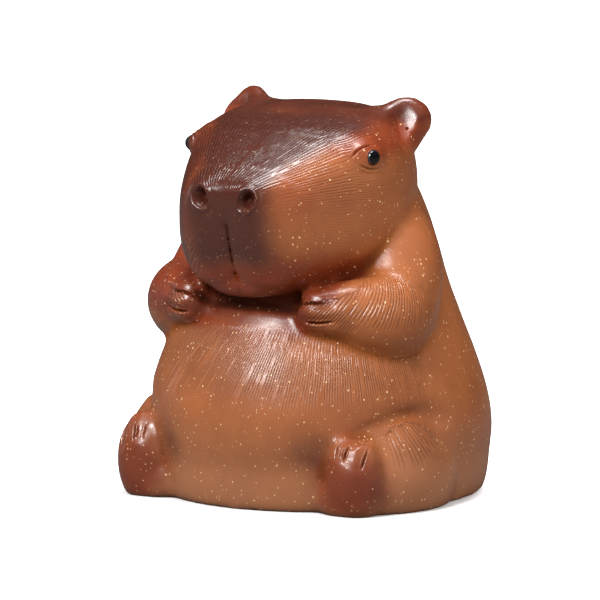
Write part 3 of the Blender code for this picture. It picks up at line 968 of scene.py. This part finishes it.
@dataclass
class HairStrokes:
    """Where the clay is combed and which way. Lengths are in millimetres, angles in degrees."""

    head_spacing: float = 0.66
    belly_spacing: float = 0.55
    arm_spacing: float = 0.62
    thigh_spacing: float = 0.64
    nose_y: float = -35.0
    belly_pole: tuple[float, float] = (41.0, 85.0)
    arm_pole: tuple[float, float] = (73.0, 62.0)
    thigh_pole: tuple[float, float] = (52.0, 26.0)
    torso: Torso = field(default_factory=Torso)

    def fan(
        self, turn: np.ndarray, height: np.ndarray, pole: tuple[float, float], row: float
    ) -> tuple[np.ndarray, np.ndarray, np.ndarray]:
        """Strokes that spread from a pole on the unrolled torso.

        Args:
            turn: angles round the torso.
            height: heights above the base.
            pole: the pole's angle and height.
            row: how long a row of strokes is.

        Returns:
            The distance across the strokes as an angle, the distance from the pole and the row's length.
        """
        across = (turn - pole[0]) * math.pi / 180 * 33.0
        down = pole[1] - height
        return np.arctan2(across, down), np.hypot(across, down), np.full(len(turn), row)

    def head(self, points: np.ndarray) -> tuple[np.ndarray, ...]:
        """Strokes that run from the nose back over the head.

        Args:
            points: places in millimetres.

        Returns:
            The angle across, the girth, the distance along and the depth.
        """
        x, y, z = np.abs(points[:, 0]), points[:, 1], points[:, 2]
        back = np.clip(y - self.nose_y, 0, 40)
        width = np.minimum(10.0 + 0.60 * back, 22.0)
        tall = np.minimum(8.0 + 0.50 * back, 17.0)
        middle = 58.5 - 0.05 * back
        angle = np.arctan2((z - middle) * width / tall, x)
        measures = {"x": x, "y": y, "z": z, "raised": np.degrees(angle), "from_nose": np.abs(y + 32.0)}
        top = soft(measures, ("raised", 20.0, 50.0))
        crown = soft(measures, ("y", -6.0, -13.0), ("y", -33.9, -32.0))
        cheek_high = soft(measures, ("z", 57.0, 62.5), ("y", -7.0, -16.0), ("y", -33.0, -28.0))
        cheek = soft(measures, ("z", 46.0, 52.0), ("y", 2.0, -6.0), ("y", -32.0, -28.0))
        muzzle = soft(measures, ("z", 44.0, 46.0), ("z", 54.0, 50.0), ("x", 6.5, 8.5), ("y", -25.0, -29.0))
        muzzle = muzzle * np.where(points[:, 0] < 0, 0.9, 0.15)
        above_nose = soft(measures, ("z", 62.6, 63.6), ("from_nose", 6.0, 0.0))
        depth = np.maximum.reduce([top * crown, 0.6 * cheek_high, 0.12 * cheek, muzzle, above_nose * top])
        depth = depth * soft(measures, ("z", 43.0, 45.5))
        eye = np.linalg.norm(np.column_stack([x - 20.2, y + 13.4, (z - 67.7)]), axis=1)
        nostril = np.linalg.norm(np.column_stack([x - 5.1, y + 33.9, z - 60.6]), axis=1)
        depth = depth * smoothstep(3.6, 4.8, eye) * smoothstep(2.2, 2.7, nostril)
        return angle, width, back, depth

    def paint(self, points: np.ndarray) -> dict[str, np.ndarray]:
        """Works out the numbers that the clay's strokes are drawn from.

        Args:
            points: places in millimetres.

        Returns:
            The numbers by attribute name.
        """
        y, z = points[:, 1], points[:, 2]
        turn, proud = self.torso.girth(points)
        angle, girth, along, depth = self.head(points)
        on_head = z > np.interp(y, [-34.0, -26.0, -12.0, 0.0, 20.0], [42.0, 40.8, 46.5, 55.0, 62.0])
        depth = np.where(on_head, depth, 0.0)
        row_length = np.full(len(points), 12.0)
        spacing = np.full(len(points), self.head_spacing)
        measures = {"z": z, "turn": turn, "round": np.abs(turn), "proud": proud}
        belly_high = soft(measures, ("z", 19.0, 25.0))
        belly = belly_high + 0.22 * soft(measures, ("z", 3.0, 12.0)) * (1 - belly_high)
        belly = belly * soft(
            measures, ("z", 35.5, 33.5), ("turn", -52.0, -22.0), ("turn", 76.0, 68.0), ("proud", 0.75, 0.35)
        )
        arm = soft(measures, ("proud", 0.5, 1.0), ("z", 34.5, 36.8), ("z", 46.0, 42.5))
        arm = arm * soft(measures, ("round", 82.0, 72.0), ("round", 24.0, 30.0))
        thigh = soft(measures, ("proud", 0.3, 0.9), ("z", 7.0, 11.5), ("z", 18.0, 16.5))
        thigh = thigh * soft(measures, ("round", 52.0, 55.5), ("round", 82.0, 72.0))
        regions = (
            (self.fan(turn, z, self.belly_pole, 22.0), belly, self.belly_spacing),
            (self.fan(np.abs(turn), z, self.arm_pole, 12.0), arm, self.arm_spacing),
            (self.fan(np.abs(turn), z, self.thigh_pole, 12.0), thigh, self.thigh_spacing),
        )
        for (fan_angle, reach, length), strength, apart in regions:
            better = (~on_head) & (strength > depth)
            angle = np.where(better, fan_angle, angle)
            along = np.where(better, reach, along)
            girth = np.where(better, reach, girth)
            row_length = np.where(better, length, row_length)
            spacing = np.where(better, apart, spacing)
            depth = np.where(better, strength, depth)
        row = along / row_length
        lines = []
        for start in (0.0, 1.0):
            centre = (2 * np.floor((row - start) / 2) + start + 1.0) * row_length
            base = np.where(on_head, np.minimum(10.0 + 0.60 * centre, 22.0), centre)
            lines.append(angle * base / spacing + 31.0 * np.floor((row - start) / 2))
        share = np.sin(np.pi * row / 2) ** 2
        return {
            "stroke_line_a": lines[0],
            "stroke_line_b": lines[1],
            "stroke_share": smoothstep(0.35, 0.65, share),
            "stroke_row": row,
            "stroke_depth": np.clip(depth, 0, 1),
        }


@dataclass(frozen=True)
class Spray:
    """A patch of sprayed colour. Places and sizes are in millimetres, and a spot lies on both sides."""

    name: str
    strength: float
    steps: tuple[Step, ...] = ()
    spot: Place | None = None
    reach: float = 0.0
    edge: float = 0.0

    def laid(self, measures: dict[str, np.ndarray]) -> np.ndarray:
        """Sprays the patch.

        Args:
            measures: what is measured at each point, by name.

        Returns:
            How strong the colour is at each point.
        """
        strong = self.strength * soft(measures, *self.steps)
        if self.spot is not None:
            place = np.column_stack([measures[name] for name in "xyz"])
            gap = np.linalg.norm(place - np.array(self.spot), axis=1)
            strong = strong * smoothstep(self.reach + self.edge, self.reach - self.edge, gap)
        return strong


PURPLE = (
    Spray("snout", 1.0, (("from_snout", 4.0, -3.5), ("y", 2.0, -13.0), ("z", 58.5, 63.0))),
    Spray("bridge", 1.0, (("x", 14.0, 5.5), ("y", -18.0, -30.0), ("z", 55.0, 61.5))),
    # Painted shade on the belly beside the feet.
    Spray("beside foot", 0.55, (), (16.5, -30.0, 11.5), 4.5, 4.5),
    # Jaw: partly sprayed colour, partly painted shade on the lower cheeks.
    Spray("jaw", 0.4, (("z", 49.0, 42.5), ("z", 37.5, 39.5), ("y", -4.0, -16.0), ("x", 20.5, 16.5))),
    # Darker on the figure's right side only.
    Spray("right face", 0.7, (("left", -6.0, -11.0), ("y", 2.0, -20.0), ("z", 42.0, 50.0))),
    Spray("feet", 0.35, (), (24.0, -27.5, 5.5), 8.5, 4.5),
    # Darker on the figure's right side only.
    Spray("right side", 0.35, (("left", -12.0, -22.0), ("y", -6.0, -22.0), ("z", 18.0, 13.0))),
    # Bib: partly sprayed colour, partly painted shadow of the head on the belly top under the chin.
    Spray("bib", 0.6, (("x", 19.0, 10.0), ("z", 32.5, 38.5), ("z", 42.0, 40.5), ("y", -12.0, -17.0))),
    Spray("ears", 0.6, (("z", 71.0, 74.5), ("x", 9.0, 15.0), ("y", -12.0, -6.0))),
    Spray("crown", 0.75, (("z", 71.0, 74.5), ("y", 14.0, 0.0))),
)

RED = (
    Spray("ears", 0.85, (("z", 72.6, 74.0), ("x", 12.0, 16.0))),
    Spray("crown", 0.75, (("z", 70.0, 74.0), ("y", 14.0, 2.0))),
    Spray("brow", 0.85, (("z", 64.5, 70.0), ("x", 9.0, 14.0), ("y", -23.0, -15.0), ("y", 9.0, 3.0))),
    # Jaw: the redder jaw and chin, partly sprayed colour and partly painted shade on the lower cheeks.
    Spray("jaw", 0.95, (("z", 54.0, 45.0), ("z", 39.0, 41.5), ("y", 2.0, -14.0), ("x", 21.0, 17.0))),
    # Redder on the figure's right side only.
    Spray("right face", 0.85, (("left", -5.0, -10.0), ("y", 4.0, -12.0), ("z", 46.0, 56.0))),
    Spray("snout", 0.5, (), (11.0, -29.0, 62.0), 6.5, 5.0),
    Spray("toes", 0.5, (), (24.5, -27.0, 14.5), 4.5, 3.0),
    Spray("hands", 0.9, (("z", 31.0, 35.0),), (10.5, -24.0, 38.5), 6.0, 3.5),
    # Bib: partly sprayed colour, partly painted shadow of the head on the belly top under the chin.
    Spray("bib", 0.7, (("x", 19.0, 9.0), ("z", 29.0, 37.0), ("z", 43.0, 40.0), ("y", -12.0, -17.0))),
    Spray("sleeve", 0.12, (("z", 40.5, 43.0), ("z", 48.0, 44.0), ("proud", 0.4, 1.0), ("y", -5.0, -11.0))),
    Spray("feet", 0.8, (), (24.0, -27.5, 5.5), 7.5, 4.5),
    # Redder on the figure's right arm only.
    Spray("right arm", 0.9, (("left", -14.0, -18.0), ("z", 31.0, 38.0), ("z", 55.0, 46.0), ("y", 4.0, -13.0),
                             ("proud", 0.2, 1.2))),
)


@dataclass
class Airbrush:
    """The purple and red colours sprayed over the clay, with painted shade under the chin, on the lower
    cheeks and beside the feet.
    Places and sizes are in millimetres.
    """

    torso: Torso = field(default_factory=Torso)
    snout_edge: float = 7.6
    snout_flare: float = 0.42
    snout_tip: float = -33.0
    front_lean: float = 0.12

    def measures(self, points: np.ndarray) -> dict[str, np.ndarray]:
        """Measures what the sprays are laid by.

        Args:
            points: places in millimetres.

        Returns:
            The measures by name.
        """
        left, y, z = points.T
        x = np.abs(left)
        snout = self.snout_edge + self.snout_flare * (y - self.snout_tip)
        proud = self.torso.girth(points)[1]
        climb = z + self.front_lean * x
        return {"left": left, "x": x, "y": y, "z": z, "from_snout": x - snout, "climb": climb, "proud": proud}

    def purple(self, points: np.ndarray) -> np.ndarray:
        """The dark snout, the brow, and painted shade beside the feet, under the chin and on the lower
        cheeks, from places in millimetres.
        """
        measures = self.measures(points)
        front = soft(measures, ("x", 16.0, 4.5), ("y", -14.0, -30.0), ("z", 66.0, 62.0))
        lip, face = soft(measures, ("z", 37.0, 41.0)), soft(measures, ("climb", 43.8, 51.0))
        front = front * (0.1 * lip + 0.9 * face)
        return np.maximum.reduce([front, *(spray.laid(measures) for spray in PURPLE)])

    def red(self, points: np.ndarray) -> np.ndarray:
        """The redder ears, crown, jaw, hands and feet, with painted shade under the chin and on the lower
        cheeks, from places in millimetres.
        """
        measures = self.measures(points)
        return np.maximum.reduce([spray.laid(measures) for spray in RED])


@dataclass
class ClayFigure:
    """The figure's clay: a finer skin over the CAD's casting, marked with nostrils, lids, fingers and toes.

    Radii, sinks, reaches and heights are in millimetres, and the grain in metres.
    """

    node: str = "clay_body"
    grain: float = 0.0007
    rounds: int = 22
    lid_radii: Place = (1.9, 3.7, 2.6)
    lid_sink: float = 1.15
    nose_plug: Place = (1.9, 2.5, 2.0)
    nose_sink: float = 1.7
    inside_keeps: float = 0.05
    vent_reach: float = 6.5
    vent_height: float = 2.2
    hollow_height: float = 25.0
    under_reaches: tuple[float, float] = (7.0, 29.0)
    nose_levels: Place = (4.2, 3.3, 2.4)
    bead_levels: Place = (4.4, 3.2, 2.1)
    ear_levels: Place = (4.2, 0.0, 0.0)
    pinhole_levels: Place = (0.0, 1.4, 0.9)
    mark_levels: Place = (1.9, 1.1, 0.45)
    bold_width: float = 1.0
    faint_depth: float = 0.08
    crease_rounds: int = 14
    crease_range: tuple[float, float] = (0.06, 0.45)
    nostril: Nostril = field(default_factory=Nostril)
    socket: EyeSocket = field(default_factory=EyeSocket)
    ear: Ear = field(default_factory=Ear)
    strokes: HairStrokes = field(default_factory=HairStrokes)
    airbrush: Airbrush = field(default_factory=Airbrush)
    finish: FiredClay = field(default_factory=FiredClay)

    def lump(self, mesh: bmesh.types.BMesh, middle: Vector, radii: Place, frame_turn: Matrix) -> None:
        """Adds a stretched ball of clay, to be pressed into the body.

        Args:
            mesh: the mesh that it is added to.
            middle: its middle.
            radii: its half sizes, in millimetres.
            frame_turn: how it is turned.
        """
        place = Matrix.Translation(middle) @ frame_turn @ Matrix.Diagonal((*[r * MM for r in radii], 1))
        made = bmesh.ops.create_icosphere(mesh, subdivisions=3, radius=1, matrix=place)
        bmesh.ops.recalc_face_normals(mesh, faces=list({f for v in made["verts"] for f in v.link_faces}))

    def rough(self, beads: dict[Side, Vector]) -> bpy.types.Object:
        """Makes one even skin of the CAD's casting, with its eye sockets and nostrils filled.

        Args:
            beads: the beads' middles.

        Returns:
            The object.
        """
        mesh = bmesh.new()
        mesh.from_mesh(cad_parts[self.node].data)
        bmesh.ops.remove_doubles(mesh, verts=mesh.verts, dist=1e-6)
        for side, middle in beads.items():
            outward = self.socket.outward(side)
            turn = outward.to_track_quat("X", "Z").to_matrix().to_4x4()
            self.lump(mesh, middle - outward * self.lid_sink * MM, self.lid_radii, turn)
            facing = mirrored(self.nostril.facing, side).normalized()
            up = (Vector((0, 0, 1)) - facing * facing.z).normalized()
            across = up.cross(facing)
            nose = Matrix((across, up, facing)).transposed().to_4x4()
            sunk = mirrored(self.nostril.middle, side) * MM - facing * self.nose_sink * MM
            self.lump(mesh, sunk, self.nose_plug, nose)
        thing = placed("clay_figure", filled("clay_figure", mesh))
        remesh = thing.modifiers.new("even skin", "REMESH")
        remesh.mode = "VOXEL"
        remesh.voxel_size = self.grain
        self.settle(thing)
        return thing

    def settle(self, thing: bpy.types.Object) -> None:
        """Replaces an object's mesh by what its modifiers make of it."""
        graph = bpy.context.evaluated_depsgraph_get()
        made = bpy.data.meshes.new_from_object(thing.evaluated_get(graph))
        thing.modifiers.clear()
        old, thing.data = thing.data, made
        bpy.data.meshes.remove(old)

    def inside(self, mesh: bpy.types.Mesh) -> np.ndarray:
        """Finds the hollow's wall.

        Args:
            mesh: the figure's mesh.

        Returns:
            True for each point of the hollow, as far as half way down the vent.
        """
        skin = Skin(mesh)
        count = len(skin.points)
        barred = np.hypot(skin.points[:, 0], skin.points[:, 1]) < self.vent_reach * MM
        barred &= skin.points[:, 2] < self.vent_height * MM
        centre = np.array([0, 0, self.hollow_height * MM])
        start = int(np.argmin(np.linalg.norm(skin.points - centre, axis=1)))
        reached = np.zeros(count, bool)
        reached[start] = True
        first, second = skin.edges[:, 0], skin.edges[:, 1]
        total = 0
        while reached.sum() != total:
            total = reached.sum()
            for _ in range(8):
                reached[first[reached[second] & ~barred[first]]] = True
                reached[second[reached[first] & ~barred[second]]] = True
        return reached

    def find_creases(self, mesh: bpy.types.Mesh) -> None:
        """Writes on the mesh how far each point lies down in a fold, which the clay darkens as painted shade.
        """
        skin = Skin(mesh)
        plain = Skin(mesh)
        plain.relax(self.crease_rounds, 1.0, 0.0)
        sunk = ((plain.points - skin.points) * skin.normals).sum(1) / MM
        write(mesh, "zone_crease_shade", smoothstep(*self.crease_range, sunk))

    def thin_inside(self, thing: bpy.types.Object) -> None:
        """Leaves only a few triangles on the hollow's wall and the flat underside."""
        mesh = thing.data
        skin = Skin(mesh)
        hidden = self.inside(mesh)
        reach = np.hypot(skin.points[:, 0], skin.points[:, 1]) / MM
        near, far = self.under_reaches
        under = (skin.points[:, 2] < 0.05 * MM) & (reach > near) & (reach < far)
        group = thing.vertex_groups.new(name="hidden")
        group.add([int(i) for i in np.nonzero(hidden | under)[0]], 1.0, "REPLACE")
        share = (hidden | under).mean()
        thin = thing.modifiers.new("thin", "DECIMATE")
        thin.vertex_group = "hidden"
        thin.ratio = 1 - share * (1 - self.inside_keeps)
        self.settle(thing)
        thing.vertex_groups.clear()

    def refine(self, mesh: bpy.types.Mesh, zones: tuple[tuple[Vector, float], ...]) -> None:
        """Splits the faces within some balls in four.

        Args:
            mesh: the figure's mesh.
            zones: the balls' middles and radii.
        """
        work = bmesh.new()
        work.from_mesh(mesh)
        centres = np.array([tuple(face.calc_center_median()) for face in work.faces])
        chosen = np.zeros(len(centres), bool)
        for middle, reach in zones:
            chosen |= np.linalg.norm(centres - np.array(middle), axis=1) < reach
        work.faces.ensure_lookup_table()
        edges = {edge for i in np.nonzero(chosen)[0] for edge in work.faces[int(i)].edges}
        made = bmesh.ops.subdivide_edges(work, edges=list(edges), cuts=1, use_grid_fill=True)
        fresh = [item for item in made["geom_inner"] if isinstance(item, bmesh.types.BMVert)]
        around = list({v for vert in fresh for edge in vert.link_edges for v in edge.verts})
        axes = {f"use_axis_{axis}": True for axis in "xyz"}
        bmesh.ops.smooth_vert(work, verts=around, factor=0.5, **axes)
        work.to_mesh(mesh)
        work.free()

    def zones(self, beads: dict[Side, Vector]) -> list[tuple[tuple[Vector, float], ...]]:
        """Where the skin is made finer, from the widest level to the finest.

        Args:
            beads: the beads' middles.

        Returns:
            For each level, balls by middle and radius.
        """
        spots = []
        for side in Side:
            spots.append((mirrored(self.nostril.middle, side) * MM, self.nose_levels))
            spots.append((beads[side], self.bead_levels))
            spots.append((mirrored(self.ear.middle, side) * MM, self.ear_levels))
            spots.append((mirrored(self.ear.pinhole, side) * MM, self.pinhole_levels))
        for mark in MARKS:
            if mark.half_width > self.bold_width or mark.depth < self.faint_depth:
                continue
            for side in mark.sides():
                places = [mirrored(place, side) * MM for place in mark.places]
                for a, b in zip(places, places[1:]):
                    spots += [(a.lerp(b, step / 6), self.mark_levels) for step in range(7)]
        levels = []
        for level in range(3):
            levels.append(tuple((spot, reaches[level] * MM) for spot, reaches in spots if reaches[level]))
        return levels

    def paint(self, mesh: bpy.types.Mesh, hollow: np.ndarray) -> None:
        """Writes the colours' and strokes' numbers on the mesh.

        Args:
            mesh: the figure's mesh.
            hollow: the painted shade at each point, from the marks pressed in it.
        """
        skin = Skin(mesh)
        hidden = self.inside(mesh)
        points = skin.points / MM
        numbers = self.strokes.paint(points)
        numbers["stroke_depth"] = np.where(hidden, 0.0, numbers["stroke_depth"])
        numbers["zone_purple"] = np.where(hidden, 0.0, self.airbrush.purple(points))
        numbers["zone_red"] = np.where(hidden, 0.0, self.airbrush.red(points))
        underneath = (points[:, 2] < 0.6) & (skin.normals[:, 2] < -0.6)
        numbers["zone_inside"] = (hidden | underneath).astype(float)
        numbers["zone_recess_shade"] = hollow
        for name, values in numbers.items():
            write(mesh, name, values)

    def build(self, beads: dict[Side, Vector], radius: float) -> bpy.types.Object:
        """Makes the clay.

        Args:
            beads: the beads' middles.
            radius: the beads' radius.

        Returns:
            The finished piece.
        """
        thing = self.rough(beads)
        skin = Skin(thing.data)
        skin.relax(self.rounds)
        for nudge in NUDGES:
            nudge.apply(skin)
        skin.points[:, 2] = np.maximum(skin.points[:, 2], 0.0)
        skin.store()
        self.find_creases(thing.data)
        self.thin_inside(thing)
        for level in self.zones(beads):
            self.refine(thing.data, level)
        skin = Skin(thing.data)
        # The painted shade that the marks, nostrils, ear pinholes and sockets lay in their recesses.
        hollow = np.zeros(len(skin.points))
        tree = skin.tree()
        for mark in MARKS:
            mark.press(skin, tree, hollow)
        skin.refresh()
        self.nostril.press(skin, tree, hollow)
        self.ear.press(skin, tree, hollow)
        skin.refresh()
        for side, middle in beads.items():
            self.socket.press(skin, side, middle, radius, hollow)
        low, high = (np.array(corner) for corner in CAD_BOX)
        skin.points = np.clip(skin.points, low + np.array([2e-6, 2e-6, 0.0]), high - 2e-6)
        skin.store()
        self.paint(thing.data, hollow)
        thing.data.materials.clear()
        thing.data.materials.append(self.finish.material())
        thing.data.polygons.foreach_set("use_smooth", [True] * len(thing.data.polygons))
        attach(thing, "root")
        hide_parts(self.node)
        return thing


@dataclass
class BeadEye:
    """A black glass bead, with a painted reflection greying its rim where it sits in the clay."""

    side: Side
    node: str
    finish: BlackBead = field(default_factory=BlackBead)
    segments: int = 64
    # Heights, in radii, between which the painted reflection on the rim fades out.
    sheen_from: float = 0.50
    sheen_to: float = 0.66
    fit: float = 0.998
    socket: EyeSocket = field(default_factory=EyeSocket)

    def middle(self) -> Vector:
        """The bead's middle, from its CAD node."""
        low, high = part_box(self.node)
        return (low + high) / 2

    def radius(self) -> float:
        """The bead's radius, from its CAD node."""
        low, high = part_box(self.node)
        return (high.x - low.x) / 2

    def build(self) -> bpy.types.Object:
        """Makes the bead.

        Returns:
            The finished piece.
        """
        mesh = bmesh.new()
        outward = self.socket.outward(self.side)
        turn = outward.to_track_quat("Z", "Y").to_matrix().to_4x4()
        place, radius = Matrix.Translation(self.middle()) @ turn, self.radius() * self.fit
        slices, rings = self.segments, self.segments // 2
        bmesh.ops.create_uvsphere(mesh, u_segments=slices, v_segments=rings, radius=radius, matrix=place)
        bmesh.ops.recalc_face_normals(mesh, faces=mesh.faces)
        data = filled(f"bead_{self.side.name.lower()}", mesh)
        points = np.array([tuple(v.co - self.middle()) for v in data.vertices])
        height = points @ np.array(outward) / self.radius()
        write(data, "bead_rim_sheen", smoothstep(self.sheen_to, self.sheen_from, height))
        data.polygons.foreach_set("use_smooth", [True] * len(data.polygons))
        data.materials.append(self.finish.material())
        thing = placed(f"bead_eye_{self.side.name.lower()}", data)
        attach(thing, "root")
        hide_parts(self.node)
        return thing


@dataclass(frozen=True)
class Lamp:
    """A soft lamp. Angles are in degrees, distance and size in metres, power in watts."""

    name: str
    azimuth: float
    elevation: float
    away: float
    size: tuple[float, float]
    power: float
    in_gloss: bool = True


LAMPS = (
    Lamp("front box", -8.0, 38.0, 0.55, (0.18, 0.18), 3.05),
    Lamp("top box", -125.0, 85.0, 0.50, (0.18, 0.18), 1.9),
    Lamp("side fill", 88.0, 22.0, 0.60, (0.80, 0.80), 3.0, False),
    Lamp("left strip", -88.0, 14.0, 0.50, (0.08, 0.30), 0.09),
)


@dataclass
class Studio:
    """A pale table, soft lamps and the camera at the photograph's angle. Angles are in degrees."""

    azimuth: float = 32.0
    elevation: float = 8.4
    distance: float = 1.8
    metres_per_pixel: float = 0.000195
    frame_width: int = 600
    aim_right: float = -0.0034
    aim_height: float = 0.0368
    sensor: float = 36.0
    lamp_aim: float = 0.04
    table_half: float = 3.0
    world_light: float = 0.54
    world_gloss: float = 0.02
    finish: PaleTable = field(default_factory=PaleTable)

    def outward(self, azimuth: float, elevation: float) -> Vector:
        """The direction from the figure to a place at this azimuth and elevation."""
        a, e = math.radians(azimuth), math.radians(elevation)
        return Vector((math.sin(a) * math.cos(e), -math.cos(a) * math.cos(e), math.sin(e)))

    def stand(self, thing: bpy.types.Object, aim: Vector, out: Vector, away: float) -> None:
        """Stands a lamp or camera off from a place that it faces.

        Args:
            thing: the lamp or camera.
            aim: the place.
            out: the direction from there.
            away: how far off it stands, in metres.
        """
        thing.location = aim + out * away
        thing.rotation_mode = "QUATERNION"
        thing.rotation_quaternion = (-out).to_track_quat("-Z", "Y")

    def camera(self) -> None:
        """Sets the camera where the photograph was taken from."""
        data = bpy.data.cameras.new("view")
        data.sensor_width = self.sensor
        data.lens = self.sensor * self.distance / (self.frame_width * self.metres_per_pixel)
        data.clip_start, data.clip_end = 0.01, 20.0
        thing = placed("view", data)
        a = math.radians(self.azimuth)
        aim = Vector((0, 0, self.aim_height)) + Vector((math.cos(a), math.sin(a), 0)) * self.aim_right
        self.stand(thing, aim, self.outward(self.azimuth, self.elevation), self.distance)
        bpy.context.scene.camera = thing

    def light(self, lamp: Lamp) -> None:
        """Adds one lamp that faces the figure."""
        data = bpy.data.lights.new(lamp.name, "AREA")
        data.shape = "RECTANGLE"
        data.size, data.size_y = lamp.size
        data.energy = lamp.power
        thing = placed(lamp.name, data)
        thing.visible_glossy = lamp.in_gloss
        out = self.outward(lamp.azimuth, lamp.elevation)
        self.stand(thing, Vector((0, 0, self.lamp_aim)), out, lamp.away)

    def table(self) -> bpy.types.Object:
        """Lays the table top at z = 0."""
        mesh = bmesh.new()
        bmesh.ops.create_grid(mesh, x_segments=1, y_segments=1, size=self.table_half)
        data = filled("table", mesh)
        data.materials.append(self.finish.material())
        thing = placed("table", data)
        return thing

    def world(self) -> None:
        """Lights the scene evenly from all round and shows white behind it."""
        world = bpy.data.worlds.new("pale room")
        bpy.context.scene.world = world
        world.use_nodes = True
        tree = world.node_tree
        world.cycles.sampling_method = "NONE"
        light = tree.nodes["Background"]
        rays = tree.nodes.new("ShaderNodeLightPath")
        mirror = tree.nodes.new("ShaderNodeMix")
        tree.links.new(rays.outputs["Is Glossy Ray"], mirror.inputs[0])
        mirror.inputs[2].default_value = self.world_light
        mirror.inputs[3].default_value = self.world_gloss
        pick = tree.nodes.new("ShaderNodeMix")
        tree.links.new(rays.outputs["Is Camera Ray"], pick.inputs[0])
        tree.links.new(mirror.outputs[0], pick.inputs[2])
        pick.inputs[3].default_value = 1.0
        light.inputs["Color"].default_value = (1.0, 1.0, 1.0, 1.0)
        tree.links.new(pick.outputs[0], light.inputs["Strength"])

    def build(self) -> None:
        """Sets up the table, the lamps, the world and the camera."""
        self.camera()
        self.table()
        self.world()
        for lamp in LAMPS:
            self.light(lamp)
        bpy.context.scene.view_settings.view_transform = "Standard"


def main() -> None:
    """Builds the scene, piece by piece."""
    logging.basicConfig(level=logging.INFO, format="%(message)s")
    Studio().build()
    eyes = (BeadEye(Side.LEFT, "eye_bead_left"), BeadEye(Side.RIGHT, "eye_bead_right"))
    figure = ClayFigure()
    pieces = [figure.build({eye.side: eye.middle() for eye in eyes}, eyes[0].radius())]
    pieces += [eye.build() for eye in eyes]
    for piece in pieces:
        triangles = sum(len(face.vertices) - 2 for face in piece.data.polygons)
        LOG.info("%s: %d triangles", piece.name, triangles)


if __name__ == "__main__":
    main()
